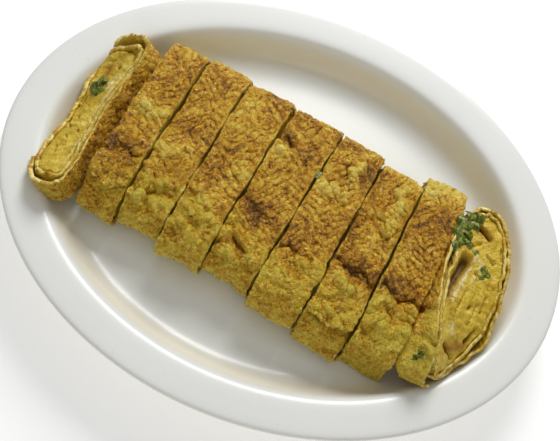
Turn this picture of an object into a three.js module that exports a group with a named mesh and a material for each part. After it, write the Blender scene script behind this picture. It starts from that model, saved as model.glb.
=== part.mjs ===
// A rolled omelette, cut into nine slices and served on an oval plate.
//
// Millimetres, +Z up. The origin is the middle of the plate's foot, on the surface it stands on.
// +X runs along the plate's long axis and along the roll, and +Y runs across the slices, to their back.
//
// Each slice has two pieces: a thin browned sheet that is rolled round it in a flattened spiral, and the
// thick core of egg that the sheet is rolled round. The two end slices have tipped over and show their cuts.

import * as THREE from 'three';

// ---- Plate ----

const PLATE_LENGTH = 280;
const PLATE_WIDTH = 224;
const PLATE_HEIGHT = 25;
const FLOOR_HEIGHT = 6; // top of the plate's flat floor
const RECESS_HEIGHT = 2; // underside of the floor, inside the foot ring
const RIM_WIDTH = 18;
const WALL_WIDTH = 14; // from the rim's inner edge in to the flat floor
const SHELL = 4; // thickness of the rim and the wall
const FOOT_INSET = 38; // from the plate's edge in to the foot ring
const FOOT_WIDTH = 6;
const PLATE_SEGMENTS = 48;

// ---- Roll ----

const SHEET = 2.4; // thickness of the rolled sheet
const LAYER_GAP = 0.5; // between one turn of the sheet and the next, and round the core
const SHEET_TURNS = 1.75;
const POINTS_PER_TURN = 28;
const SQUARENESS = 0.64; // 1 gives an ellipse, and less gives a flatter top and fuller ends
const REST_GAP = 0.3; // between a slice and the plate's floor
const SLICE_STEPS = 2; // rows of faces through a slice's thickness
const SWELL = 0.03; // how far a slice's height rises and falls along its length, as a share of it
const SWELL_LENGTH = 16; // the swell's length, over 2 pi

// Each slice: where its middle is, its length across the roll, its thickness along the roll, its height, its
// lean to the right at the back in degrees, and where the sheet's loose end lies, in degrees up the front
// from the bottom.
const SLICES = [
  { x: -102.9, y: 5, long: 95, thick: 18, high: 26, lean: 3.6, looseEnd: 40 },
  { x: -77.2, y: 8.3, long: 102, thick: 19.6, high: 28, lean: 4.8, looseEnd: 95 },
  { x: -55.4, y: 8.5, long: 102, thick: 22, high: 28.6, lean: 5, looseEnd: 45 },
  { x: -32.2, y: 2.6, long: 105, thick: 22, high: 28.8, lean: 5.5, looseEnd: 50 },
  { x: -5.6, y: 0.2, long: 101, thick: 24, high: 28.4, lean: 9.2, looseEnd: 45 },
  { x: 19.4, y: -6.3, long: 105, thick: 23.8, high: 28.8, lean: 8.6, looseEnd: 50 },
  { x: 43.3, y: -12.5, long: 101, thick: 22.2, high: 28, lean: 7.4, looseEnd: 85 },
  { x: 66.4, y: -11.4, long: 103, thick: 21.4, high: 28.6, lean: 7, looseEnd: 95 },
  { x: 95.8, y: -15.6, long: 95, thick: 20, high: 28, lean: 9, looseEnd: 70 },
];

// The end slices have tipped over: how far to the right at the middle, in degrees, how much further at the
// back end than at the front end, how far both ends bend to the right, and how far they ride up the wall.
const UPRIGHT = { tip: 0, twist: 0, bend: 0, rise: 0 };
const FIRST_TIPPED = { tip: 56, twist: 8, bend: 2, rise: 11 };
const LAST_TIPPED = { tip: -66, twist: -28, bend: -4, rise: 6 };

// ---- Finishes ----

const glaze = new THREE.MeshStandardMaterial({ color: 0xe9e8e2, roughness: 0.25, metalness: 0 });
const brownedEgg = new THREE.MeshStandardMaterial({ color: 0xb98a2e, roughness: 0.6, metalness: 0 });
const softEgg = new THREE.MeshStandardMaterial({ color: 0xd8b648, roughness: 0.5, metalness: 0 });

// The plate's section from the middle of its floor, out over the rim, back under it and to its middle again.
// A point's first number is the distance from the middle, measured along the plate's length.
function plateProfile() {
  const edge = PLATE_LENGTH / 2;
  const rimInner = edge - RIM_WIDTH;
  const floorEdge = rimInner - WALL_WIDTH;
  const footOuter = edge - FOOT_INSET;
  const footInner = footOuter - FOOT_WIDTH;
  const rimDrop = 2; // how far the rim falls towards the well
  const lip = 1.2; // rounding of the rim's outer edge
  const ramp = 0.6 * WALL_WIDTH; // the cove from the floor to the steep wall

  const top = new THREE.Path();
  top.moveTo(0, FLOOR_HEIGHT);
  top.lineTo(floorEdge * 0.5, FLOOR_HEIGHT);
  top.lineTo(floorEdge, FLOOR_HEIGHT);
  top.quadraticCurveTo(floorEdge + ramp, FLOOR_HEIGHT, floorEdge + ramp + 1.5, FLOOR_HEIGHT + 6);
  top.lineTo(rimInner - 1.2, PLATE_HEIGHT - rimDrop - 3);
  top.quadraticCurveTo(rimInner - 0.5, PLATE_HEIGHT - rimDrop, rimInner + 3, PLATE_HEIGHT - rimDrop + 0.4);
  top.lineTo(edge - 3, PLATE_HEIGHT);
  top.lineTo(edge - lip, PLATE_HEIGHT);
  top.quadraticCurveTo(edge, PLATE_HEIGHT, edge, PLATE_HEIGHT - lip);

  const under = new THREE.Path();
  under.moveTo(edge, PLATE_HEIGHT - SHELL + lip);
  under.quadraticCurveTo(edge, PLATE_HEIGHT - SHELL, edge - lip, PLATE_HEIGHT - SHELL);
  under.lineTo(rimInner + SHELL, PLATE_HEIGHT - rimDrop - SHELL);
  under.quadraticCurveTo(rimInner + 2, PLATE_HEIGHT - rimDrop - SHELL, rimInner + 1.5, FLOOR_HEIGHT + 8);
  under.quadraticCurveTo(rimInner - 2, RECESS_HEIGHT, footOuter + 3, RECESS_HEIGHT);
  under.lineTo(footOuter + 0.6, RECESS_HEIGHT);
  under.lineTo(footOuter, 0);
  under.lineTo(footInner, 0);
  under.lineTo(footInner - 0.6, RECESS_HEIGHT);
  under.lineTo(0, RECESS_HEIGHT);

  const curvePoints = 4;
  return [...top.getPoints(curvePoints), ...under.getPoints(curvePoints)];
}

// Turns a round plate into an oval one whose rim and wall have the same width all round.
function ovalise(geometry) {
  const narrower = (PLATE_LENGTH - PLATE_WIDTH) / 2;
  const floorEdge = PLATE_LENGTH / 2 - FOOT_INSET - FOOT_WIDTH - 1;
  const position = geometry.getAttribute('position');
  for (let i = 0; i < position.count; i++) {
    const reach = Math.hypot(position.getX(i), position.getY(i));
    const share = 1 - narrower / Math.max(reach, floorEdge);
    position.setY(i, position.getY(i) * share);
  }
}

function makePlate() {
  const geometry = new THREE.LatheGeometry(plateProfile().reverse(), PLATE_SEGMENTS);
  geometry.rotateX(Math.PI / 2);
  ovalise(geometry);
  const plate = new THREE.Mesh(geometry, glaze);
  plate.name = 'plate';
  return plate;
}

// A point of a flattened round section, by its angle: 0 is the back, 90 degrees the top, 180 the front.
function sectionPoint(halfWidth, halfHeight, angle) {
  const across = Math.cos(angle);
  const up = Math.sin(angle);
  return new THREE.Vector2(
    halfWidth * Math.sign(across) * Math.abs(across) ** SQUARENESS,
    halfHeight * Math.sign(up) * Math.abs(up) ** SQUARENESS,
  );
}

// A slice's spiral, followed from the loose end: the points `depth` inside its outside, between two turns.
function spiralRun(fromTurn, toTurn, depth, slice) {
  const looseAngle = THREE.MathUtils.degToRad(270 - slice.looseEnd);
  const count = Math.round(Math.abs(toTurn - fromTurn) * POINTS_PER_TURN);
  const points = [];
  for (let i = 0; i <= count; i++) {
    const turns = fromTurn + ((toTurn - fromTurn) * i) / count;
    const inward = turns * (SHEET + LAYER_GAP) + depth;
    const angle = looseAngle - turns * 2 * Math.PI;
    points.push(sectionPoint(slice.long / 2 - inward, slice.high / 2 - inward, angle));
  }
  return points;
}

// The sheet's section: along its outside to the inner end, and back along its inside.
function wrapSection(slice) {
  const outside = spiralRun(0, SHEET_TURNS, 0, slice);
  const inside = spiralRun(SHEET_TURNS, 0, SHEET, slice);
  return [...outside, ...inside];
}

// The core fills what the sheet leaves, with a step where the sheet's inner end lies.
function coreSection(slice) {
  const clearOfEnd = 0.5 / POINTS_PER_TURN;
  return spiralRun(SHEET_TURNS - 1 + clearOfEnd, SHEET_TURNS, SHEET + LAYER_GAP, slice);
}

// Extrudes a section through the slice's thickness, so that X is along the roll, Y across and Z up.
function extrudeSection(points, thickness) {
  const geometry = new THREE.ExtrudeGeometry(new THREE.Shape(points), {
    depth: thickness,
    steps: SLICE_STEPS,
    bevelEnabled: false,
  });
  geometry.translate(0, 0, -thickness / 2);
  geometry.applyMatrix4(new THREE.Matrix4().set(0, 0, 1, 0, 1, 0, 0, 0, 0, 1, 0, 0, 0, 0, 0, 1));
  return geometry;
}

function poseOf(index) {
  if (index === 0) return FIRST_TIPPED;
  return index === SLICES.length - 1 ? LAST_TIPPED : UPRIGHT;
}

// Gives a slice its own uneven height, then tips it over, bends it and lifts its ends.
function shapeSlice(geometry, slice, index) {
  const pose = poseOf(index);
  const position = geometry.getAttribute('position');
  const point = new THREE.Vector3();
  const alongSlice = new THREE.Vector3(0, 1, 0);
  for (let i = 0; i < position.count; i++) {
    point.fromBufferAttribute(position, i);
    point.z *= 1 + SWELL * Math.sin(point.y / SWELL_LENGTH + 2 * index);
    const tip = pose.tip + (pose.twist * point.y) / slice.long;
    point.applyAxisAngle(alongSlice, THREE.MathUtils.degToRad(tip));
    const towardsEnd = (point.y / (slice.long / 2)) ** 2;
    point.x += pose.bend * towardsEnd;
    point.z += pose.rise * towardsEnd;
    position.setXYZ(i, point.x, point.y, point.z);
  }
}

function makeSlice(slice, index) {
  const wrap = extrudeSection(wrapSection(slice), slice.thick);
  const core = extrudeSection(coreSection(slice), slice.thick);
  shapeSlice(wrap, slice, index);
  shapeSlice(core, slice, index);
  wrap.computeBoundingBox();

  const group = new THREE.Group();
  group.position.set(slice.x, slice.y, FLOOR_HEIGHT + REST_GAP - wrap.boundingBox.min.z);
  group.rotation.z = -THREE.MathUtils.degToRad(slice.lean);
  const pieces = [['wrap', wrap, brownedEgg], ['core', core, softEgg]];
  for (const [kind, geometry, material] of pieces) {
    const mesh = new THREE.Mesh(geometry, material);
    mesh.name = `slice_${index + 1}_${kind}`;
    group.add(mesh);
  }
  return group;
}

const omeletteOnPlate = new THREE.Group();
omeletteOnPlate.add(makePlate());
SLICES.forEach((slice, index) => omeletteOnPlate.add(makeSlice(slice, index)));

export default omeletteOnPlate;
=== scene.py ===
import math

import bpy
import numpy as np
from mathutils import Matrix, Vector


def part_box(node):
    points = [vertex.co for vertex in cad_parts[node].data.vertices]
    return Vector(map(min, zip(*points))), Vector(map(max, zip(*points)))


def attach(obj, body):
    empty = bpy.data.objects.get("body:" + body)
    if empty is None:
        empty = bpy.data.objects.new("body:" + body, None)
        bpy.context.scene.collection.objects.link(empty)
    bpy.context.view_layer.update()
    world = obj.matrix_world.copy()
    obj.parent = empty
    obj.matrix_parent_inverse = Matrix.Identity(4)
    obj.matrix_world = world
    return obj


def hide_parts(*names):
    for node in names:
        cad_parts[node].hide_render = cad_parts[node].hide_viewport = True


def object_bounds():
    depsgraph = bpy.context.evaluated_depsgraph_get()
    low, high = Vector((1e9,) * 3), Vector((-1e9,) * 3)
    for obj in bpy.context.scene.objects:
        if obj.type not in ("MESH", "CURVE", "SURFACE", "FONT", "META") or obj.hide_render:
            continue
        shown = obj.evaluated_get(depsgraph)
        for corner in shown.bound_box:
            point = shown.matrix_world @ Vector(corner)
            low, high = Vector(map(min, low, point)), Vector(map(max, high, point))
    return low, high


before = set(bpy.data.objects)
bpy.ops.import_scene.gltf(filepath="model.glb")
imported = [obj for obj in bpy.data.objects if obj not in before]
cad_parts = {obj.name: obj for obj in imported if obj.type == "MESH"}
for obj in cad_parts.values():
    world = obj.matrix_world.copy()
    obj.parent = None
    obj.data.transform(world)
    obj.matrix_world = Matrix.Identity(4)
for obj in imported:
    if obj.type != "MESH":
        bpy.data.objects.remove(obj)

mm = 0.001
cadLow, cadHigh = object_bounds()
print("frame loaded:", len(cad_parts), "nodes")


def deselectAll():
    bpy.ops.object.select_all(action="DESELECT")


def makeActive(piece):
    deselectAll()
    piece.select_set(True)
    bpy.context.view_layer.objects.active = piece


def applyPlace(piece):
    makeActive(piece)
    bpy.ops.object.transform_apply(location=True, rotation=True, scale=True)


def modify(piece, kind, **settings):
    makeActive(piece)
    modifier = piece.modifiers.new(kind.title(), kind)
    for key, value in settings.items():
        setattr(modifier, key, value)
    bpy.ops.object.modifier_apply(modifier=modifier.name)


def pointsOf(piece):
    points = np.empty(len(piece.data.vertices) * 3, np.float32)
    piece.data.vertices.foreach_get("co", points)
    return points.reshape(-1, 3).astype(float)


def movePoints(piece, points):
    piece.data.vertices.foreach_set("co", points.astype(np.float32).ravel())
    piece.data.update()


def normalsOf(piece):
    normals = np.empty(len(piece.data.vertices) * 3, np.float32)
    piece.data.vertex_normals.foreach_get("vector", normals)
    return normals.reshape(-1, 3).astype(float)


def valuesOf(piece, name):
    attribute = piece.data.attributes[name]
    values = np.empty(len(attribute.data), np.float32)
    attribute.data.foreach_get("value", values)
    return values.astype(float)


def setValues(piece, name, values):
    attribute = piece.data.attributes.get(name)
    if attribute is None:
        attribute = piece.data.attributes.new(name, "FLOAT", "POINT")
    attribute.data.foreach_set("value", values.astype(np.float32))


def smoothStep(low, high, value):
    share = np.clip((value - low) / (high - low), 0, 1)
    return share * share * (3 - 2 * share)


def besideLine(x, y, line):  # how far each point is from a line of straight runs
    nearest = np.full(len(x), 1e9)
    for (x1, y1), (x2, y2) in zip(line, line[1:]):
        run = max((x2 - x1) ** 2 + (y2 - y1) ** 2, 1e-6)
        share = np.clip(((x - x1) * (x2 - x1) + (y - y1) * (y2 - y1)) / run, 0, 1)
        nearest = np.minimum(nearest, np.hypot(x - x1 - share * (x2 - x1), y - y1 - share * (y2 - y1)))
    return nearest


def srgb(red, green, blue):
    linear = []
    for level in (red, green, blue):
        share = level / 255
        linear.append(share / 12.92 if share < 0.04045 else ((share + 0.055) / 1.055) ** 2.4)
    return (*linear, 1)


class Wire:  # a socket that takes part in sums

    def __init__(self, finish, socket):
        self.finish = finish
        self.socket = socket

    def sum(self, operation, first, second):
        return self.finish.node("Math", {"operation": operation}, {0: first, 1: second})

    def __add__(self, other):
        return self.sum("ADD", self, other)

    def __radd__(self, other):
        return self.sum("ADD", other, self)

    def __sub__(self, other):
        return self.sum("SUBTRACT", self, other)

    def __rsub__(self, other):
        return self.sum("SUBTRACT", other, self)

    def __mul__(self, other):
        return self.sum("MULTIPLY", self, other)

    def __rmul__(self, other):
        return self.sum("MULTIPLY", other, self)

    def __abs__(self):
        return self.finish.node("Math", {"operation": "ABSOLUTE"}, {0: self})


class Finish:  # a material and the nodes behind it

    def __init__(self, name, **constants):
        self.material = bpy.data.materials.new(name)
        self.material.use_nodes = True
        self.tree = self.material.node_tree
        self.shader = self.tree.nodes["Principled BSDF"]
        for socket, value in constants.items():
            self.shader.inputs[socket.replace("_", " ")].default_value = value
        self.place = self.node("TexCoord", out="Object")

    def node(self, kind, settings={}, values={}, out=0):
        made = self.tree.nodes.new("ShaderNode" + kind)
        for key, value in settings.items():
            if key == "stops":
                self.fillRamp(made.color_ramp, value)
            else:
                setattr(made, key, value)
        for socket, value in values.items():
            if isinstance(value, Wire):
                self.tree.links.new(value.socket, made.inputs[socket])
            else:
                made.inputs[socket].default_value = value
        return Wire(self, made.outputs[out])

    def fillRamp(self, ramp, stops):
        while len(ramp.elements) < len(stops):
            ramp.elements.new(1)
        for element, (position, colour) in zip(ramp.elements, stops):
            element.position = position
            element.color = colour

    def noise(self, size, detail=3, roughness=0.5, distortion=0, place=None):
        values = {"Vector": place or self.place, "Scale": 1 / size, "Detail": detail}
        values.update({"Roughness": roughness, "Distortion": distortion})
        return self.node("TexNoise", {}, values)

    def attribute(self, name):
        return self.node("Attribute", {"attribute_name": name}, out="Fac")

    def ramp(self, value, *stops):
        return self.node("ValToRGB", {"stops": stops}, {0: value})

    def step(self, value, low, high):
        settings = {"interpolation_type": "SMOOTHSTEP"}
        return self.node("MapRange", settings, {0: value, 1: low, 2: high})

    def mix(self, share, first, second, way="MIX"):
        settings = {"data_type": "RGBA", "blend_type": way}
        return self.node("Mix", settings, {0: share, 6: first, 7: second}, out=2)

    def bump(self, height, strength, distance, under=None):
        values = {"Height": height, "Strength": strength, "Distance": distance}
        if under:
            values["Normal"] = under
        return self.node("Bump", {}, values)

    def feed(self, **sockets):
        for socket, value in sockets.items():
            self.tree.links.new(value.socket, self.shader.inputs[socket.replace("_", " ")])
        return self.material


view = {
    "target": (0.42 * mm, -13.92 * mm, 24 * mm),
    "distance": 395 * mm,
    "elevation": math.radians(64),
    "roll": math.radians(22.1),
    "lens": 53.3,
}


def makeCamera():
    tilt = view["elevation"]
    back = Vector((0, -math.cos(tilt), math.sin(tilt)))
    place = Vector(view["target"]) + back * view["distance"]
    deselectAll()
    bpy.ops.object.camera_add(location=place)
    camera = bpy.context.object
    camera.data.lens = view["lens"]
    camera.data.clip_start = 0.01
    turn = back.to_track_quat("Z", "Y").to_matrix().to_4x4()
    camera.matrix_world = turn @ camera.matrix_world.Rotation(view["roll"], 4, "Z")
    camera.location = place
    bpy.context.scene.camera = camera


lamps = [
    {"name": "window", "at": (-0.02, 0.62, 0.5), "size": 0.36, "power": 4.8, "tint": (0.98, 0.99, 1)},
    {"name": "ceiling", "at": (0.0, 0.1, 1.1), "size": 1.0, "power": 0.9, "tint": (0.98, 0.99, 1)},
    {"name": "bounce", "at": (0.1, -0.8, 0.36), "size": 0.6, "power": 1.1, "tint": (1, 0.93, 0.8)},
]
room = {"tint": (0.98, 0.99, 1, 1), "strength": 0.31}


def makeLights():
    for lamp in lamps:
        deselectAll()
        bpy.ops.object.light_add(type="AREA", location=lamp["at"])
        light = bpy.context.object
        light.name = lamp["name"]
        light.data.size = lamp["size"]
        light.data.energy = lamp["power"]
        light.data.color = lamp["tint"]
        light.rotation_euler = Vector(lamp["at"]).to_track_quat("Z", "Y").to_euler()
    world = bpy.data.worlds.new("room")
    bpy.context.scene.world = world
    world.use_nodes = True
    background = world.node_tree.nodes["Background"]
    background.inputs["Color"].default_value = room["tint"]
    background.inputs["Strength"].default_value = room["strength"]
    bpy.context.scene.view_settings.view_transform = "Standard"


def makeFloor():
    deselectAll()
    bpy.ops.mesh.primitive_plane_add(size=4, location=(0, 0, cadLow.z))
    floor = bpy.context.object
    floor.name = "floor"
    applyPlace(floor)
    finish = Finish("pale_floor", Roughness=0.9, Emission_Color=(1, 1, 1, 1), Emission_Strength=0.3)
    cloud = finish.noise(0.3)
    colour = finish.mix(cloud, (0.93, 0.93, 0.92, 1), (0.9, 0.9, 0.9, 1))
    floor.data.materials.append(finish.feed(Base_Color=colour))


makeCamera()
makeLights()
makeFloor()
print("camera and lights in place")


# The plate's section: distance from the middle along the plate's length, and height, in millimetres.
plate = {
    "narrower": 28 * mm,  # the plate's half width is this much less than its half length
    "even": 95 * mm,  # outside this reach the rim and wall keep one width all round
    "around": 96,
    "top": [(60, 6), (96, 6), (101, 6), (106.5, 6.3), (111, 7.4), (114.3, 9.8), (116.8, 13.2), (118.8, 17.2),
            (120.3, 20.6), (122, 22.6), (125, 23.4), (131, 24.2), (136.6, 24.9), (138.6, 24.95)],
    "edge": [(139.7, 24.4), (140, 23.2), (139.7, 21.9), (138.4, 21.1)],
    "under": [(132, 20), (126.5, 19), (124.2, 17), (123.2, 13.5), (121.4, 9), (116.5, 5), (110, 2.7),
              (104.5, 2), (102.6, 1.9), (102.1, 0.5), (101.4, 0), (96.6, 0), (95.9, 0.5), (95.4, 1.9),
              (92, 2), (50, 2)],
    "warmShade": (6, 10, 15, 22),  # painted warm shade: the wall's glaze is tinted tan between these heights, for the warm bounce light in its shade
}


def halfWidth(reach):  # of the oval ring that has this half length
    return reach * (1 - plate["narrower"] / max(reach, plate["even"]))


def makePlate():
    rings = [(r * mm, z * mm) for r, z in plate["top"] + plate["edge"] + plate["under"]]
    reach, height = rings[0]
    deselectAll()
    bpy.ops.mesh.primitive_circle_add(
        vertices=plate["around"], radius=reach, fill_type="NGON", location=(0, 0, height))
    piece = bpy.context.object
    piece.name = "oval_plate"
    piece.scale = (1, halfWidth(reach) / reach, 1)
    applyPlace(piece)
    bpy.ops.object.mode_set(mode="EDIT")
    bpy.ops.mesh.select_mode(type="EDGE")
    bpy.ops.mesh.select_all(action="SELECT")
    bpy.ops.mesh.region_to_loop()
    for nextReach, nextHeight in rings[1:]:
        bpy.ops.mesh.extrude_edges_move(
            TRANSFORM_OT_translate={"value": (0, 0, nextHeight - height)})
        bpy.ops.transform.resize(
            value=(nextReach / reach, halfWidth(nextReach) / halfWidth(reach), 1),
            center_override=(0, 0, nextHeight))
        reach, height = nextReach, nextHeight
    bpy.ops.mesh.edge_face_add()
    bpy.ops.mesh.select_all(action="SELECT")
    bpy.ops.mesh.normals_make_consistent(inside=False)
    bpy.ops.object.mode_set(mode="OBJECT")
    modify(piece, "SUBSURF", levels=2, render_levels=2)
    bpy.ops.object.shade_smooth()
    return piece


def glazeFinish():
    finish = Finish("white_glaze", Roughness=0.3, Coat_Weight=0.12, Coat_Roughness=0.06)
    cloud = finish.noise(60 * mm, 3)
    height = finish.node("SeparateXYZ", {}, {0: finish.place}, out="Z")
    start, full, fade, end = [level * mm for level in plate["warmShade"]]
    # painted warm shade: the wall is tinted tan, standing in for warm bounce light on the shaded wall
    warmShade = finish.step(height, start, full) * (1 - finish.step(height, fade, end))
    speck = finish.step(finish.noise(2.2 * mm, 2), 0.7, 0.78)
    body = finish.mix(cloud, srgb(240, 241, 236), srgb(235, 236, 231))
    body = finish.mix(warmShade * 0.7, body, srgb(240, 231, 206))
    body = finish.mix(speck * 0.25, body, srgb(196, 190, 176))
    wave = finish.noise(16 * mm, 2)
    return finish.feed(Base_Color=body, Normal=finish.bump(wave, 0.12, 0.6 * mm))


plateFinish = glazeFinish()
platePiece = makePlate()
platePiece.data.materials.append(plateFinish)
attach(platePiece, "root")
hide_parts("plate")
print("plate made")


# What every slice starts from. Lengths are in millimetres.
roll = {
    "squareness": 0.64,  # less makes the top flatter and the ends fuller
    "turns": 1.75,
    "pitch": 2.9,  # from one turn of the sheet to the next
    "sheet": 2.1,
    "slack": [],
    "girth": (0, 0),
    "rounded": False,  # whether the near end is rounded off
    "lobe": 0,  # how far the middle of the loose end reaches past its corners
    "wavy": 0.1,
}

# Lean is to the right at the back, in degrees, and the loose end lies that many degrees up the front.
# Slack is where a turn hangs loose: at which turn, over what share of a turn, and how far inwards.
# Girth is how much fatter the slice is towards its back end, and then towards its front end.
slices = [
    {"long": 97, "thick": 14, "high": 24, "lean": 4.5, "loose": 40, "squareness": 0.72, "wavy": 0.3,
     "girth": (0.9, 0.35), "slack": [(1.66, 0.06, 4), (1.14, 0.05, 3), (0.45, 0.02, 1.4)]},
    {"long": 102, "thick": 19.6, "high": 28, "lean": 4.8, "loose": 130, "lobe": 4,
     "slack": [(0.88, 0.06, -3)]},
    {"long": 102, "thick": 22, "high": 28.6, "lean": 5, "loose": 45},
    {"long": 105, "thick": 22, "high": 28.8, "lean": 5.5, "loose": 50},
    {"long": 101, "thick": 24, "high": 28.4, "lean": 9.2, "loose": 45},
    {"long": 105, "thick": 23.8, "high": 28.8, "lean": 8.6, "loose": 50},
    {"long": 101, "thick": 22.2, "high": 28, "lean": 7.4, "loose": 124, "lobe": 3,
     "slack": [(0.86, 0.05, -4.5)]},
    {"long": 103, "thick": 21.4, "high": 28.6, "lean": 7, "loose": 92, "lobe": 2,
     "slack": [(0.9, 0.045, -8)]},
    {"long": 95, "thick": 20, "high": 37, "lean": 9, "loose": 70, "squareness": 0.78, "wavy": 0.4,
     "girth": (-0.04, -0.26), "turns": 2.05, "pitch": 2.3, "sheet": 1.5, "rounded": True,
     "slack": [(1.07, 0.07, 5), (1.34, 0.05, 1.6), (0.84, 0.028, -2.6), (1.2, 0.02, 1)]},
]

# How the end slices have tipped over. Tip, twist and curl are in degrees: to the right at the middle, how
# much more at the back end than at the front, and how much more towards both ends. The ends bend to the
# right and rise, and the whole slice shifts to the right and back, all in millimetres.
upright = {"tip": 0, "twist": 0, "curl": 0, "bend": 0, "rise": 0}
tipped = {
    0: {"tip": 63, "twist": -20, "curl": 0, "bend": 3, "rise": 9.5, "shift": 1.4, "back": -2.5},
    8: {"tip": -74, "twist": -70, "curl": 68, "bend": -6, "rise": 2.4, "shift": -1.6, "back": -1.5},
}

# The lumps and wrinkles of the skin: size and height in millimetres, how much longer they are along the roll
# or how they are turned, and which group of points they are on. Those with a share in "fine" also get
# painted shade in their hollows and a painted highlight on their ridges, in the skin's colour. A marble
# texture gives wavering folds.
relief = [
    {"name": "swell", "size": 19, "height": 2.6, "longer": 1.1, "depth": 1},
    {"name": "dent", "size": 8, "height": 1.5, "longer": 1.4, "depth": 2},
    {"name": "fold", "size": 8.5, "height": -3.6, "longer": 1.2, "depth": 2, "hard": True,
     "group": "front", "fine": 0.3},
    {"name": "sweep", "size": 3.0, "height": 0.65, "marble": True, "turn": 25,
     "group": "swept", "fine": 1},
    {"name": "cross", "size": 2.3, "height": 0.6, "marble": True, "turn": 110,
     "group": "crossed", "fine": 1},
    {"name": "crinkle", "size": 2.8, "height": 1.4, "longer": 1.2, "depth": 3,
     "group": "crinkled", "fine": 1},
]
marble = {
    "turbulence": 14,
    "scale": 2.6,
    "depth": 3,
    "spacing": 0.7255,  # from one band to the next on a grid of one
    "slant": (0.3, 0.2),
}


def reliefLayers():
    made = []
    for layer in relief:
        deselectAll()
        bpy.ops.object.empty_add(location=(0, 0, 0))
        grid = bpy.context.object
        if "marble" in layer:
            texture = bpy.data.textures.new(layer["name"], "MARBLE")
            texture.turbulence = marble["turbulence"]
            texture.noise_scale = marble["scale"]
            texture.noise_depth = marble["depth"]
            spacing = layer["size"] * mm / marble["spacing"]
            grid.scale = (spacing, spacing, spacing)
            grid.rotation_euler = (*marble["slant"], math.radians(layer["turn"]))
        else:
            texture = bpy.data.textures.new(layer["name"], "CLOUDS")
            texture.noise_scale = layer["size"] * mm
            texture.noise_depth = layer["depth"]
            texture.noise_type = "HARD_NOISE" if "hard" in layer else "SOFT_NOISE"
            grid.scale = (layer["longer"], 1, 1)
        made.append((layer, texture, grid))
    bpy.context.view_layer.update()
    return made


reliefSet = reliefLayers()
for slice in slices:
    for key, value in roll.items():
        slice.setdefault(key, value)


def ripple(along, index, *waves):  # a line that wavers differently for each slice
    total = 0
    for number, (length, height) in enumerate(waves):  # each in millimetres, the length over 2 pi
        total = total + height * mm * np.sin(along / (length * mm) + 1.7 * index + 2.3 * number)
    return total


def rolledPath(slice, inset, turns, count=700):  # a flattened spiral, from the loose end inwards
    points = []
    back, front = slice["girth"]
    for i in range(count + 1):
        turn = turns[0] + (turns[1] - turns[0]) * i / count
        angle = math.radians(270 - slice["loose"]) - turn * 2 * math.pi
        inward = turn * slice["pitch"] + inset
        swing = 0.5 + 0.5 * math.sin(29 * turn + 1)  # small waves that come and go along the sheet
        inward += slice["wavy"] * swing * (math.sin(133 * turn) + 0.8 * math.sin(217 * turn + 2))
        for middle, spread, extra in slice["slack"]:
            inward += extra * math.exp(-((turn - middle) / spread) ** 2)
        across, up = math.cos(angle), math.sin(angle)
        across = math.copysign(abs(across) ** slice["squareness"], across)
        up = math.copysign(abs(up) ** slice["squareness"], up)
        fatter = 1 + back * max(across, 0) ** 1.5 + front * max(-across, 0) ** 1.5
        points.append(((slice["long"] / 2 - inward) * mm * across,
                       (slice["high"] / 2 * fatter - inward) * mm * up))
    return points


def pathCurve(name, points, closed=False):
    curve = bpy.data.curves.new(name, "CURVE")
    curve.dimensions = "2D" if closed else "3D"
    curve.twist_mode = "Z_UP"
    spline = curve.splines.new("POLY")
    spline.points.add(len(points) - 1)
    for point, (across, up) in zip(spline.points, points):
        point.co = (across, up, 0, 1)
    spline.use_cyclic_u = closed
    path = bpy.data.objects.new(name, curve)
    bpy.context.scene.collection.objects.link(path)
    return path


def evenPath(points, spacing):  # the same line with its points evenly spaced, and its length
    line = np.array(points)
    steps = np.linalg.norm(np.diff(line, axis=0), axis=1)
    reach = np.concatenate([[0], np.cumsum(steps)])
    marks = np.linspace(0, reach[-1], int(reach[-1] / spacing) + 1)
    across, up = np.interp(marks, reach, line[:, 0]), np.interp(marks, reach, line[:, 1])
    return list(zip(across.tolist(), up.tolist())), float(np.hypot(np.diff(across), np.diff(up)).sum())


def standUp(piece):  # from lying on the floor plan to standing across the roll
    piece.rotation_euler = (math.radians(90), 0, math.radians(90))
    applyPlace(piece)


sheets = {
    "path": 0.9,  # spacing of the rolled path's points, in millimetres
    "grain": 0.52,  # spacing of the points on a sheet's outer turn
    "openCoarser": 1.2,  # and how much more on a sheet whose cut shows, which has them all through
    "hiddenGrain": 1.6,  # and further in, where nothing shows
    "fineTurns": 1.08,  # how far round the fine points go
    "narrower": 0.4,  # a sheet's width is this much less than its slice's thickness
    "lobeReach": 14,  # the loose end is ragged from this far back
    "ragged": ((1.7, 0.7), (0.8, 0.4)),
}


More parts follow.
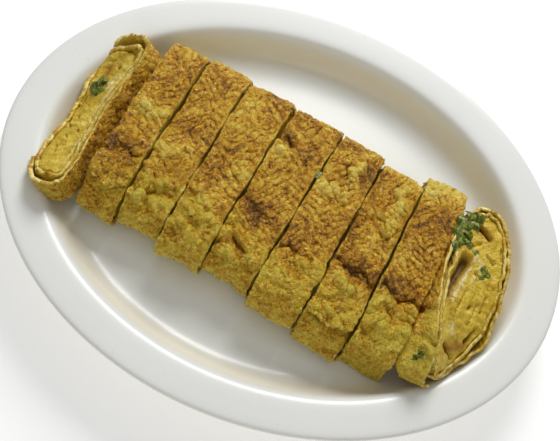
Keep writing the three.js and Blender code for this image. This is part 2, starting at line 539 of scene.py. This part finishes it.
def makeSheet(name, slice, showsCut):
    path = rolledPath(slice, slice["sheet"] / 2, (0, slice["turns"]))
    points, length = evenPath(path, sheets["path"] * mm)
    thick = slice["thick"] * mm - sheets["narrower"] * mm
    grain = sheets["grain"] * mm * (sheets["openCoarser"] if showsCut else 1)
    outer = length if showsCut else length * sheets["fineTurns"] / slice["turns"]
    fineColumns = int(outer / grain)
    columns = fineColumns + int((length - outer) / (sheets["hiddenGrain"] * mm))
    deselectAll()
    bpy.ops.mesh.primitive_grid_add(
        x_subdivisions=columns, y_subdivisions=int(thick / grain),
        size=1, location=(length / 2, 0, 0), rotation=(math.radians(90), 0, 0))
    piece = bpy.context.object
    piece.name = name
    piece.scale = (length, thick, 1)
    applyPlace(piece)
    flat = pointsOf(piece)
    column = flat[:, 0] / length * columns
    flat[:, 0] = np.interp(column, (0, fineColumns, columns + 1e-6), (0, outer, length))
    setValues(piece, "along", flat[:, 0] / length * slice["turns"] / roll["turns"])
    ragged = slice["lobe"] * mm * (flat[:, 2] / (thick / 2)) ** 2
    ragged += np.abs(ripple(flat[:, 2], 3, *sheets["ragged"]))
    flat[:, 0] += ragged * np.clip(1 - flat[:, 0] / (sheets["lobeReach"] * mm), 0, 1) ** 2
    movePoints(piece, flat)
    path = pathCurve(name + "_path", points)
    modify(piece, "CURVE", object=path, deform_axis="POS_X")
    bpy.data.objects.remove(path)
    bpy.ops.object.mode_set(mode="EDIT")
    bpy.ops.mesh.select_all(action="SELECT")
    bpy.ops.mesh.flip_normals()
    bpy.ops.object.mode_set(mode="OBJECT")
    standUp(piece)
    return piece


filling = {
    "clear": 0.3,  # between the sheet and the filling, in millimetres
    "turn": 0.985,  # its outline follows the last turn as far as this, and steps in at the sheet's inner end
    "path": 1.2,  # spacing of the outline's points
    "back": 0.6,  # how far it stands back from each cut
    "grain": 0.9,
    "openGrain": 0.5,  # where its cut shows
}


def makeFilling(name, slice, showsCut):
    inset = slice["sheet"] + filling["clear"]
    outline = rolledPath(slice, inset, (slice["turns"] - filling["turn"], slice["turns"]), 160)
    piece = pathCurve(name, evenPath(outline, filling["path"] * mm)[0], closed=True)
    piece.data.fill_mode = "BOTH"
    piece.data.extrude = slice["thick"] * mm / 2 - filling["back"] * mm
    makeActive(piece)
    bpy.ops.object.convert(target="MESH")
    piece = bpy.context.object
    standUp(piece)
    grain = filling["openGrain"] if showsCut else filling["grain"]
    modify(piece, "REMESH", mode="VOXEL", voxel_size=grain * mm)
    modify(piece, "SMOOTH", factor=0.6, iterations=3)
    return piece


# What shows on the two open cuts, in millimetres across and up. Dents and slits have their line, width and
# depth; the dents are also painted dark as shade. Streaks of egg white and browned places have their line
# and width; the browned places are partly browned skin and partly painted shade, along the bottom edge and
# in the dents.
openCuts = {
    0: {
        "side": -1,
        "dents": [
            ([(34, 8.6), (30, 10.4)], 1.1, 4), ([(28.4, 1), (27.6, 1.4)], 0.8, 2.4),
            ([(31.4, -4), (30.6, -5)], 0.6, 1.8), ([(2, -7), (1, -7.2)], 0.6, 2),
            ([(-6.6, -6.8), (-8.6, -6.2)], 0.6, 2.2), ([(-10.4, -4.6), (-11.4, -3.6)], 0.5, 1.8),
            ([(-12.2, 1.4), (-13.6, 1.8)], 0.6, 2), ([(-4, -3), (-5, -2.4)], 0.5, 1.4),
            ([(-17, -3), (-18, -2)], 0.5, 1.4), ([(21, -5), (20, -4)], 0.6, 1.4),
            ([(-40.2, 1), (-41.4, 1.8)], 0.9, 3.5), ([(-25, -4), (-28, -3)], 0.9, 1.4),
            ([(38, -1), (37, 5), (33, 8)], 0.7, 1.6), ([(8, -6), (4, -6.4)], 0.7, 1.2),
        ],
        "whites": [([(29, 9), (20, 7), (4, 5.2), (-12, 6.4), (-33, 5)], 0.45), ([(22, 4), (14, 3.6)], 1.5)],
        "toastsAndShade": [([(30, -12), (10, -11), (-10, -10), (-34, -9)], 2), ([(27, -4), (23, -3)], 2.4)],
    },
    8: {
        "side": 1,
        "dents": [
            ([(34.4, 3.6), (32, -1.6)], 1.4, 5), ([(23.2, -2.4), (22, -4.6), (21.2, -6.6)], 0.5, 2.4),
            ([(15, 7), (6, 9), (-6, 12)], 2.4, 4), ([(-4, -1.7), (-6, -1.2)], 1, 3.5),
            ([(12, 0.6), (9, -1)], 0.5, 2), ([(-28, 4), (-29.6, -5)], 0.9, 4.5),
            ([(-11, -9.4), (-18.6, -7.6)], 1.1, 3.5), ([(25, 12), (18, 14)], 0.8, 2.5),
            ([(1, 3), (-12, 5)], 0.6, 2), ([(-1, -5), (-12, -4)], 0.5, 1.4), ([(27, 2), (24, 5)], 0.8, 1.6),
            ([(5, -8), (-4, -8)], 0.6, 1.5), ([(30, -9), (25, -10)], 0.6, 1.5),
            ([(14, -7), (10, -8)], 0.6, 1.4),
        ],
        "whites": [
            ([(20, 2.4), (12.5, 4.2), (2, 6.4), (-8, 9)], 0.8), ([(18, 0.4), (15, 0)], 1.4),
            ([(-18, 4.4), (-21, 3)], 1.6), ([(10, 1), (6, 1.8)], 0.6),
        ],
        "toastsAndShade": [
            ([(15, 7), (6, 9), (-6, 12)], 3), ([(34.4, 3.6), (32, -1.6)], 2.4), ([(-20, -8), (-28, 0)], 2),
        ],
    },
}


def lineMarks(piece, lines):  # how strongly each point is marked by lines in the cut's plane
    points = pointsOf(piece)
    strongest = np.zeros(len(points))
    for line, width in lines:
        away = besideLine(points[:, 1] / mm, points[:, 2] / mm, line)
        strongest = np.maximum(strongest, np.exp(-(away / width) ** 2))
    return strongest


def markCut(piece, slice, marks):  # presses the dents in, and notes where the other marks are
    points = pointsOf(piece)
    y, z = points[:, 1] / mm, points[:, 2] / mm
    onCut = smoothStep(0.4, 0.8, marks["side"] * points[:, 0] / (slice["thick"] * mm / 2))
    pits = np.zeros(len(points))
    for line, width, depth in marks["dents"]:
        shape = np.exp(-(besideLine(y, z, line) / width) ** 2) * onCut
        points[:, 0] -= marks["side"] * shape * depth * mm
        # the dents are also painted dark in the curd's colour, as painted shade
        pits = np.maximum(pits, shape * min(depth / 3, 1))
    whites = lineMarks(piece, marks["whites"]) * onCut
    # browned places: partly browned skin, partly painted shade along the bottom edge and in the dents
    toastsAndShade = lineMarks(piece, marks["toastsAndShade"]) * onCut
    points[:, 0] += marks["side"] * whites * 0.5 * mm
    movePoints(piece, points)
    setValues(piece, "pit", pits)
    setValues(piece, "eggWhite", whites)
    setValues(piece, "toasted", toastsAndShade)


# The waves that the knife has left in each side of a slice, and how far it has pressed the edges down.
knife = {
    "right": ((6.1, 0.3), (2.3, 0.2), (1.1, 0.05)),
    "left": ((5.3, 0.35), (2.6, 0.2), (0.9, 0.05)),
    "pressed": 0.5,
}


def loosenEdges(piece, slice, index):
    points = pointsOf(piece)
    half = slice["thick"] * mm / 2
    x, y, z = points.T
    side = x / half
    right = ripple(y, index, *knife["right"])
    left = ripple(y, index + len(slices), *knife["left"])
    points[:, 0] = x - np.where(side > 0, side * right, side * left) * np.abs(side)
    points[:, 2] = z - knife["pressed"] * mm * np.abs(side) ** 7 * np.sign(z)
    movePoints(piece, points)


# How wide each cut stands open at the back, at a third, at two thirds and at the front, in millimetres, by
# the slice on its left. Lower down the slices are pressed together.
cuts = {
    1: (0.9, 2.0, 1.9, 1.4), 2: (0.9, 1.3, 1.2, 1.2), 3: (4.0, 1.3, 1.3, 1.3),
    4: (1.1, 1.9, 1.5, 1.8), 5: (0.9, 1.1, 1.6, 1.4), 6: (1.2, 1.1, 1.3, 1.7),
}
thirds = (0, 0.33, 0.67, 1)
pressing = {
    "long": 104,  # a cut's length
    "ends": (0, 0.3),  # at the back and from this share of the length on,
    "high": (14, 5),  # the slices are pressed together up to these heights,
    "opening": 11,  # and the cut is at its full width this much higher up
    "into": 1.2,  # how far the slices are pressed into each other, out of sight
}


def sideLine(index, side):  # where a slice's cut face stands, as x = start + slope * y
    low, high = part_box(f"slice_{index + 1}_wrap")
    lean = math.radians(slices[index]["lean"])
    half = slices[index]["thick"] * mm / 2
    middle = (low + high) / 2
    slope = math.tan(lean)
    return middle.x + side * half / math.cos(lean) - middle.y * slope, slope


def meetNeighbours(piece, sides, index):  # moves each cut face to the edge of its cut
    points = pointsOf(piece)
    y = points[:, 1]
    for side in (-1, 1):
        cut = index if side > 0 else index - 1
        if cut not in cuts:
            continue
        rightSide = sideLine(cut, 1)
        leftSide = sideLine(cut + 1, -1)
        back = max(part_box(f"slice_{cut + 1}_wrap")[1].y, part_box(f"slice_{cut + 2}_wrap")[1].y)
        share = np.clip((back - y) / (pressing["long"] * mm), 0, 1)
        closed = np.interp(share, pressing["ends"], pressing["high"]) * mm
        apart = smoothStep(0, pressing["opening"] * mm, points[:, 2] - closed)
        width = (np.interp(share, thirds, cuts[cut]) * apart - pressing["into"] * (1 - apart)) * mm
        middle = (rightSide[0] + leftSide[0]) / 2 + y * (rightSide[1] + leftSide[1]) / 2
        own = rightSide if side > 0 else leftSide
        move = middle - side * width / 2 - own[0] - own[1] * y
        points[:, 0] += move * np.clip(side * sides, 0, 1)
    movePoints(piece, points)


def tippedOver(points, slice, index):  # from a slice lying straight to how it lies on the plate
    pose = tipped.get(index, upright)
    long = slice["long"] * mm
    lean = -math.radians(slice["lean"])
    x, y, z = points.T
    tip = np.radians(pose["tip"] + pose["twist"] * y / long + pose["curl"] * (y / long) ** 2)
    towardsEnd = (y / (long / 2)) ** 2
    tippedX = x * np.cos(tip) + z * np.sin(tip) + pose["bend"] * mm * towardsEnd
    tippedZ = z * np.cos(tip) - x * np.sin(tip) + pose["rise"] * mm * towardsEnd
    leftRight = tippedX * np.cos(lean) - y * np.sin(lean)
    return np.stack([leftRight, tippedX * np.sin(lean) + y * np.cos(lean), tippedZ], 1)


# How far a rounded slice's near end draws in on the hidden cut and on the open one, in millimetres, and how
# sharply.
rounding = {"hidden": 6, "open": 3, "power": 12}


def roundNearEnd(piece, slice, side):  # the open cut is at the side given
    points = pointsOf(piece)
    half = slice["thick"] * mm / 2
    ahead = np.clip(-points[:, 1] / (slice["long"] * mm / 2), 0, 1) ** rounding["power"]
    hidden = np.clip(0.5 - side * points[:, 0] / (2 * half), 0, 1)
    points[:, 0] += side * mm * ahead * (rounding["hidden"] * hidden - rounding["open"] * (1 - hidden))
    movePoints(piece, points)


def seatOf(sheet, slice, index):  # the move that puts a tipped slice in its node's box
    low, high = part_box(f"slice_{index + 1}_wrap")
    turned = tippedOver(pointsOf(sheet), slice, index)
    shift = np.array((low + high) / 2) - (turned.min(0) + turned.max(0)) / 2
    if index in tipped:
        shift[:2] += np.array([tipped[index]["shift"], tipped[index]["back"]]) * mm
    shift[2] = low.z + slice["sheet"] * mm / 2 - turned[:, 2].min()
    return shift


def wrinkle(piece, share, groups):  # all the layers that are on every point or on one of these groups
    normals = normalsOf(piece)
    fine = 0
    for layer, texture, grid in reliefSet:
        group = layer.get("group", "")
        if group and group not in groups:
            continue
        before = pointsOf(piece)
        modify(piece, "DISPLACE", texture=texture, texture_coords="OBJECT", texture_coords_object=grid,
               strength=layer["height"] * mm * share, mid_level=0.5, direction="NORMAL", vertex_group=group)
        if "fine" in layer:
            fine = fine + layer["fine"] * ((pointsOf(piece) - before) * normals).sum(1)
    # the fine wrinkles' height, which the skin's colour turns into painted shade and painted highlight
    setValues(piece, "wrinkled", fine / mm)


def groupPoints(piece, name, weights):  # in steps, which are fine enough for a wrinkle's strength
    stepCount = 20
    group = piece.vertex_groups.new(name=name)
    steps = np.round(weights * stepCount).astype(int)
    for step in range(1, stepCount + 1):
        members = np.nonzero(steps == step)[0]
        if len(members):
            group.add(members.tolist(), step / stepCount, "REPLACE")


wrinkling = {
    "frontFrom": -0.36,  # the crumpled front starts here, as a share of the slice's half length
    "frontFull": -0.62,
    "tippedFront": 0.4,  # how much of the front's crumples a tipped slice has
    "calmFront": 0.5,  # how much less the front is finely creased
    "calmEdge": 0.6,  # and the skin beside the cuts
}


def groupWrinkles(piece, slice, index):  # where the sheet is crumpled, and where it is finely creased
    x, y, z = pointsOf(piece).T / mm
    waver = 4 * np.sin(x / 3.9 + 1.9 * index) + 2 * np.sin(x / 1.7 + index)
    front = smoothStep(wrinkling["frontFrom"], wrinkling["frontFull"], (y + waver) / (slice["long"] / 2))
    coarse = np.sin(x / 5.1 + 1.3 * index) * np.sin(y / 8.3 + 2.1 * index)
    rough = coarse + 0.6 * np.sin(x / 2.9 + y / 4.7 + index)
    groupPoints(piece, "front", front * (wrinkling["tippedFront"] if index in tipped else 1))
    besideCut = smoothStep(0.7, 0.95, np.abs(x) / (slice["thick"] / 2))
    calm = (1 - wrinkling["calmFront"] * front) * (1 - wrinkling["calmEdge"] * besideCut)
    groupPoints(piece, "swept", smoothStep(-0.3, 0.4, rough) * calm)
    groupPoints(piece, "crossed", smoothStep(0.4, -0.3, rough) * calm)
    groupPoints(piece, "crinkled", calm)
    setValues(piece, "tender", front)


# Where the skin is browner or paler: x and y in millimetres, radii along both, and how much.
patches = [
    (-74, 34, 9, 11, 0.2), (-83, -10, 8, 6, 0.24), (-76, -13, 7, 6, 0.2), (-77, 11, 9, 5, -0.25),
    (-80, -24, 9, 7, 0.3), (-54, 9, 10, 7, 0.28), (-54, -15, 9, 7, 0.25), (-52, 42, 10, 12, 0.12),
    (-63, -3, 6, 5, -0.25), (-23, 49, 6, 7, 0.3), (-32, 7, 6, 6, 0.3), (-36, -9, 7, 7, 0.32),
    (-28, -13, 6, 6, -0.3), (-37, 30, 8, 14, -0.15), (-6, 44, 9, 6, 0.35), (-11, 27, 4, 4, 0.5),
    (1, 21, 5, 7, 0.4), (-14, -15, 9, 6, 0.36), (-6, -20, 10, 7, 0.3), (-14, -36, 7, 4, 0.4),
    (-12, 18, 7, 4, -0.3), (-8, 4, 12, 8, 0.05), (19, 37, 7, 6, 0.3), (31, 24, 3.5, 7, 0.6),
    (21, 12, 7, 3, 0.4), (11, -25, 9, 8, 0.3), (24, -14, 9, 8, 0.1), (27, 22, 3, 14, -0.45),
    (16, 8, 7, 5, -0.4), (39, 27, 9, 10, 0.25), (43, -26, 12, 6, 0.45), (38, 6, 9, 10, 0.15),
    (34, -11, 4, 7, 0.3), (51, 13, 3, 14, -0.25), (66, 13, 11, 10, 0.3), (75, 16, 4, 9, 0.3),
    (64, -29, 11, 6, 0.4), (71, -8, 8, 10, 0.15), (66, 34, 12, 12, -0.7), (84, -40, 9, 18, -0.35),
    (87, -57, 12, 9, -0.4), (-57, -36, 10, 10, -0.15), (66, -52, 10, 6, -0.3), (-90, -2, 5, 25, 0.15),
    (-94, -22, 5, 8, 0.25), (-90, 35, 8, 10, -0.15),
]

# Folds and creases that stand out: their line's points, and their half width and height in millimetres.
creases = [
    ([(-65.3, -5), (-60.3, -7), (-52.6, -1)], 2.4, 1.5),
    ([(-65.3, -16), (-63.6, -25), (-65.3, -34)], 2, 2.2),
    ([(-61, -19), (-60, -31)], 1.8, -1.6), ([(-58.6, -23), (-50, -22)], 1.8, 1.6),
    ([(-59, -28), (-49, -27)], 1.5, -1.2), ([(-29.7, 12), (-27.2, 5), (-25.5, -1)], 3, 1.6),
    ([(-35.7, 47), (-35.7, 34)], 2, 1), ([(-45, -20), (-38, -19), (-32, -25)], 2, 1.8),
    ([(-42, -27), (-36, -32), (-28, -31)], 1.8, 1.6), ([(-12, 28), (-7.7, 21)], 2.6, -2.4),
    ([(-12, 21), (-9, 18)], 3.2, 2.2), ([(-20.4, -12.6), (-10.3, -15.5)], 2.4, -2),
    ([(-17, -35), (-10.3, -37)], 1.8, -2), ([(-21, -41), (-12, -43), (-5, -42)], 2, 1.6),
    ([(31.8, 36.4), (26, 24), (23.5, 14.8), (24.4, 6.4)], 1.7, 2),
    ([(23, 24), (20.5, 13), (13.6, 13)], 1.5, -1.8),
    ([(14, 8.5), (18, 8)], 4, 1.6), ([(25, -32), (24, -34)], 4, 1.8),
    ([(2.9, -29), (12, -28), (21, -31)], 1.6, -1.8), ([(50.8, 24), (51.6, 10), (50, -1)], 2.2, 2.2),
    ([(47, 24), (47.6, 10)], 1.6, -1.2), ([(35, 2.6), (41, 5.4), (49, 2.6), (52.5, -5)], 2, 1.8),
    ([(31.8, -25.5), (42.5, -28), (53.3, -31)], 2, -2.6), ([(31, -27), (36, -34), (42.5, -37.7)], 2.4, 2),
    ([(56.6, 34.5), (75.6, 36.4)], 1.2, 1.2), ([(57, 31), (76, 31.5)], 1.1, -1),
    ([(57, 27), (70, 28), (76, 27)], 1.3, 1.1), ([(55.8, -10.5), (62, -16), (69, -25.5)], 0.9, 1),
    ([(58.8, -9), (65, -15), (72, -24)], 0.9, 1), ([(61.8, -8), (68, -13), (75, -21)], 0.9, 1),
    ([(55, -29), (64, -34), (75.6, -32)], 1.9, -2.4), ([(54, -39), (64, -35.5), (72, -37)], 1.8, 2),
    ([(60, -41), (72, -43)], 1.5, -1.4), ([(54, -48), (71, -48)], 2, 1.6),
    ([(85, -48.5), (88.5, -53)], 1.6, -3), ([(91.5, -50.5), (94, -49)], 1, -2),
    ([(80, -52), (84, -60)], 1.6, -1.2), ([(-88, -16), (-80, -13), (-72, -14)], 1.6, -1.6),
    ([(-84, 13), (-76, 10), (-70, 12)], 2.6, 1.5),
]

# How brown the skin is: all over, then how much more on top, and how much less underneath, beside a cut, at
# the back, on the crumpled front and for each millimetre of a raised fold. Paler beside a cut is a painted
# edge highlight. The fold's share is painted light: raised folds are paler as a painted highlight and sunken
# creases browner as painted shade.
browningAndLight = {"all": 0.32, "top": 0.25, "under": 0.25, "cut": 0.3, "back": 0.2, "front": 0.12, "fold": 0.08}


def brownAndLightSkin(piece, index, sideways):  # the marks of the pan, the painted highlight beside the cuts, the painted light on the folds, and the folds that stand out
    points = pointsOf(piece)
    normals = normalsOf(piece)
    x, y = points[:, 0] / mm, points[:, 1] / mm
    across = x + 1.1 * np.sin(0.6 * y + 0.3 * x) + 0.5 * np.sin(1.5 * y)
    ahead = y + 1.1 * np.sin(0.5 * x + 1) + 0.5 * np.sin(1.3 * x)
    outside = 1 - smoothStep(0.55, 0.62, valuesOf(piece, "along"))
    upwards = smoothStep(-0.1, 0.5, normals[:, 2])
    downwards = smoothStep(0.2, -0.5, normals[:, 2])
    brown = browningAndLight["all"] + browningAndLight["top"] * upwards - browningAndLight["under"] * downwards
    # painted edge highlight: the skin is paler beside a cut
    brown -= browningAndLight["cut"] * smoothStep(0.93, 0.99, sideways)
    for left, back, wide, deep, more in patches:
        brown += more * np.exp(-((across - left) / wide) ** 2 - ((ahead - back) / deep) ** 2)
    if index != 0:
        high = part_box(f"slice_{index + 1}_wrap")[1]
        brown -= browningAndLight["back"] * smoothStep(9, 2, high.y / mm - y)
        brown -= browningAndLight["front"] * valuesOf(piece, "tender")
        for line, width, height in creases:
            shape = np.exp(-(besideLine(across, ahead, line) / width) ** 2) * upwards * outside
            points += normals * (shape * height * mm)[:, None]
            # painted light: raised folds paler, sunken creases browner
            brown -= browningAndLight["fold"] * height * shape
        movePoints(piece, points)
    setValues(piece, "browned", np.clip(brown * outside, 0, 1.2))


def skinFinish():
    finish = Finish("browned_egg_skin", IOR=1.65, Specular_IOR_Level=1, Specular_Tint=(1, 0.78, 0.3, 1))
    # the browning, with the painted edge highlight beside the cuts and the painted light on the folds
    browned = finish.attribute("browned")
    height = finish.attribute("wrinkled")
    blotch = finish.noise(6 * mm, 4, 0.6, 0.8)
    mottle = finish.noise(2 * mm, 4, 0.7, 0.6)
    worms = abs(finish.noise(2.6 * mm, 2, 0.5, 2.5) - 0.5)
    # painted highlight: thin pale lines along the bump's ridges
    threads = 1 - finish.step(worms, 0, 0.05)
    grit = finish.noise(0.9 * mm, 2, 0.6)
    spots = (blotch - 0.5) * 1.1 + (mottle - 0.5) * 2.0 + (grit - 0.5) * 1.3
    # painted light: the browning is made paler on the wrinkles' ridges as a painted highlight and browner in
    # their hollows as painted shade
    heatAndShade = browned + spots - height * 0.5 - threads * 0.32
    colour = finish.ramp(heatAndShade, (0.0, srgb(250, 224, 104)), (0.22, srgb(238, 190, 48)),
                         (0.45, srgb(216, 155, 24)), (0.7, srgb(176, 105, 8)), (1.0, srgb(84, 40, 2)))
    colour = finish.mix(finish.attribute("tender") * 0.7, colour, srgb(226, 226, 140), "MULTIPLY")
    # painted shade: the wrinkles' hollows are darkened
    hollow = finish.step(height, -0.1, -0.8)
    colour = finish.mix(hollow * 0.85, colour, srgb(112, 66, 10), "MULTIPLY")
    pores = finish.step(mottle, 0.42, 0.34)
    colour = finish.mix(pores * 0.4, colour, srgb(150, 96, 24), "MULTIPLY")
    moist = finish.step(finish.noise(3 * mm, 3), 0.4, 0.6)
    rough = 0.32 - moist * 0.16
    dents = worms * -1.6 + mottle * 0.9 + grit * 0.5
    return finish.feed(Base_Color=colour, Roughness=rough, Normal=finish.bump(dents, 1, 1.3 * mm))


def curdFinish():
    finish = Finish("soft_egg_curd", Roughness=0.3, Specular_IOR_Level=0.6, Specular_Tint=(1, 0.84, 0.42, 1))
    cloud = finish.noise(6 * mm, 3, 0.55, 0.8)
    curds = finish.noise(2.2 * mm, 4, 0.65, 1.2)
    colour = finish.ramp(cloud * 0.5 + curds * 0.5, (0.32, srgb(146, 108, 14)), (0.43, srgb(196, 160, 36)),
                         (0.55, srgb(222, 190, 64)), (0.7, srgb(246, 226, 132)))
    # partly browned skin and partly painted shade, along the cut's bottom edge and in its pockets
    colour = finish.mix(finish.attribute("toasted") * 0.85, colour, srgb(158, 102, 22))
    streak = finish.attribute("eggWhite") * finish.step(curds, 0.4, 0.55)
    colour = finish.mix(streak * 0.75, colour, srgb(236, 226, 176))
    # painted shade: the pressed dents are painted dark
    colour = finish.mix(finish.step(finish.attribute("pit"), 0.25, 0.9) * 0.85, colour, srgb(70, 46, 4))
    dents = finish.noise(1.3 * mm, 3, 0.6)
    return finish.feed(Base_Color=colour, Normal=finish.bump(dents, 0.9, 0.9 * mm))


def edgeFinish():
    finish = Finish("pale_cut_edge", Roughness=0.35, Specular_Tint=(1, 0.86, 0.5, 1))
    curds = finish.noise(3.5 * mm, 3, 0.55, 1.0)
    colour = finish.ramp(curds, (0.36, srgb(170, 124, 26)), (0.5, srgb(218, 184, 76)),
                         (0.64, srgb(246, 228, 150)))
    return finish.feed(Base_Color=colour, Normal=finish.bump(curds, 0.6, 0.6 * mm))


def onionFinish():
    finish = Finish("spring_onion_green", Roughness=0.35, Specular_Tint=(1, 0.95, 0.6, 1))
    fibre = finish.noise(1.2 * mm, 3, 0.6, 0.5)
    colour = finish.ramp(fibre, (0.36, srgb(34, 38, 6)), (0.47, srgb(80, 90, 14)),
                         (0.58, srgb(122, 132, 40)), (0.7, srgb(174, 176, 96)))
    return finish.feed(Base_Color=colour, Normal=finish.bump(fibre, 0.5, 0.5 * mm))


# Each bit of spring onion: its slice, then where it lies along, across and up in that slice, its length and
# its leaf's radius, in millimetres, and how it is turned, in degrees.
onions = [
    (0, -7.2, 15, -3, 7, 4, (20, 10, 180)), (0, -7, 12.5, -1.4, 6, 3.6, (60, 0, 180)),
    (0, -7.2, 17.5, -1.6, 4, 3, (-40, 0, 180)),
    (8, 9.2, 37, 9.4, 6, 3.4, (20, 10, 0)), (8, 9, 33, 12, 8, 4.2, (-20, 0, 10)),
    (8, 9.2, 29.5, 12.5, 6, 3.6, (70, 0, -10)), (8, 9.4, 34, 7, 5, 3, (0, -15, 0)),
    (8, 9.2, 24.7, 12.6, 8, 4, (-70, 10, 0)), (8, 9.2, 28, 9, 6, 3.6, (60, 15, 20)),
    (8, 9.4, 23.5, 8.4, 5, 3, (-30, 0, 0)), (8, 9.4, 19, 14.4, 5, 3, (20, 0, 0)),
    (8, 9, 21.5, 3.4, 4, 2.6, (40, 0, 0)), (8, 9.4, 39, 5, 4.5, 2.6, (10, 20, 0)),
    (8, 9.2, 15, -3.5, 5.5, 3, (-30, 0, 0)), (8, 9, 11.5, -2.5, 3.5, 2.4, (30, 0, 0)),
    (8, 4, -40, 12, 4, 2.2, (20, 80, 10)), (8, 2, -42, 11.4, 3, 1.8, (0, 70, 0)),
    (5, -11.6, 17.5, 11.5, 5, 2.6, (80, -60, 0)), (1, -7, -38, 6, 8, 4, (70, -70, 30)),
]


leaf = {
    "around": 20,
    "cutAt": 0.25,  # the strip is what lies further out than this share of the leaf's radius
    "thick": 0.7,
    "crumpled": 0.8,
}


def onionBit(length, radius):  # a bent strip cut from a hollow leaf
    deselectAll()
    bpy.ops.mesh.primitive_cylinder_add(
        vertices=leaf["around"], radius=radius * mm, depth=length * mm, end_fill_type="NOTHING")
    piece = bpy.context.object
    bpy.ops.object.mode_set(mode="EDIT")
    bpy.ops.mesh.select_all(action="SELECT")
    bpy.ops.mesh.bisect(
        plane_co=(radius * leaf["cutAt"] * mm, 0, 0), plane_no=(1, 0, 0), clear_inner=True)
    bpy.ops.mesh.select_all(action="SELECT")
    bpy.ops.mesh.subdivide(number_cuts=2)
    bpy.ops.object.mode_set(mode="OBJECT")
    modify(piece, "SOLIDIFY", thickness=leaf["thick"] * mm, offset=-1)
    modify(piece, "SUBSURF", levels=1, render_levels=1)
    points = pointsOf(piece)
    movePoints(piece, points - points.mean(0))
    return piece


def makeOnions(seats):
    bits = []
    crumples = reliefSet[1][1]
    for index, along, across, up, length, radius, turn in onions:
        piece = onionBit(length, radius)
        piece.rotation_euler = [math.radians(angle) for angle in turn]
        piece.location = (along * mm, across * mm, up * mm)
        applyPlace(piece)
        movePoints(piece, tippedOver(pointsOf(piece), slices[index], index) + seats[index])
        modify(piece, "DISPLACE", texture=crumples, texture_coords="LOCAL",
               strength=leaf["crumpled"] * mm, mid_level=0.5)
        bits.append(piece)
    deselectAll()
    for piece in bits:
        piece.select_set(True)
    bpy.context.view_layer.objects.active = bits[0]
    bpy.ops.object.join()
    whole = bpy.context.object
    whole.name = "spring_onion"
    return whole


skin = skinFinish()
curd = curdFinish()
paleEdge = edgeFinish()

# How strongly each piece is wrinkled.
creased = {"sheet": 1, "tippedSheet": 0.7, "filling": 0.35, "openFilling": 0.9}


def makeSlice(slice, index):  # rolls, cuts, tips, browns and paints the light of a slice, and gives its place on the plate
    node = f"slice_{index + 1}_"
    half = slice["thick"] * mm / 2
    showsCut = index in openCuts
    sheet = makeSheet(node + "sheet", slice, showsCut)
    core = makeFilling(node + "filling", slice, showsCut)
    groupWrinkles(sheet, slice, index)
    loosenEdges(sheet, slice, index)
    if showsCut:
        markCut(core, slice, openCuts[index])
    if slice["rounded"]:
        roundNearEnd(core, slice, openCuts[index]["side"])
        roundNearEnd(sheet, slice, openCuts[index]["side"])
    seat = seatOf(sheet, slice, index)
    sideways = np.abs(pointsOf(sheet)[:, 0]) / half
    for piece in (sheet, core):
        points = pointsOf(piece)
        sides = points[:, 0] / half
        movePoints(piece, tippedOver(points, slice, index) + seat)
        if index not in tipped:
            meetNeighbours(piece, sides, index)
    strength = creased["tippedSheet"] if index in tipped else creased["sheet"]
    wrinkle(sheet, strength, ["front", "swept", "crossed", "crinkled"])
    brownAndLightSkin(sheet, index, sideways)
    groupPoints(core, "crinkled", np.ones(len(core.data.vertices)))
    wrinkle(core, creased["openFilling"] if showsCut else creased["filling"], ["crinkled"])
    for material in (skin, curd, paleEdge):  # outside, inside and along the cuts
        sheet.data.materials.append(material)
    core.data.materials.append(curd)
    modify(sheet, "SOLIDIFY", thickness=slice["sheet"] * mm, offset=0, use_rim=True, material_offset=1,
           material_offset_rim=2)
    for piece in (sheet, core):
        makeActive(piece)
        bpy.ops.object.shade_smooth()
        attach(piece, "root")
    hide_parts(node + "wrap")
    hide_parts(node + "core")
    print("slice", index + 1, "rolled:", len(sheet.data.polygons), "+", len(core.data.polygons), "faces")
    return seat


seats = [makeSlice(slice, index) for index, slice in enumerate(slices)]
onion = makeOnions(seats)
onion.data.materials.append(onionFinish())
bpy.ops.object.shade_smooth()
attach(onion, "root")
print("spring onion scattered:", len(onion.data.polygons), "faces")

for layer, texture, grid in reliefSet:
    bpy.data.objects.remove(grid)
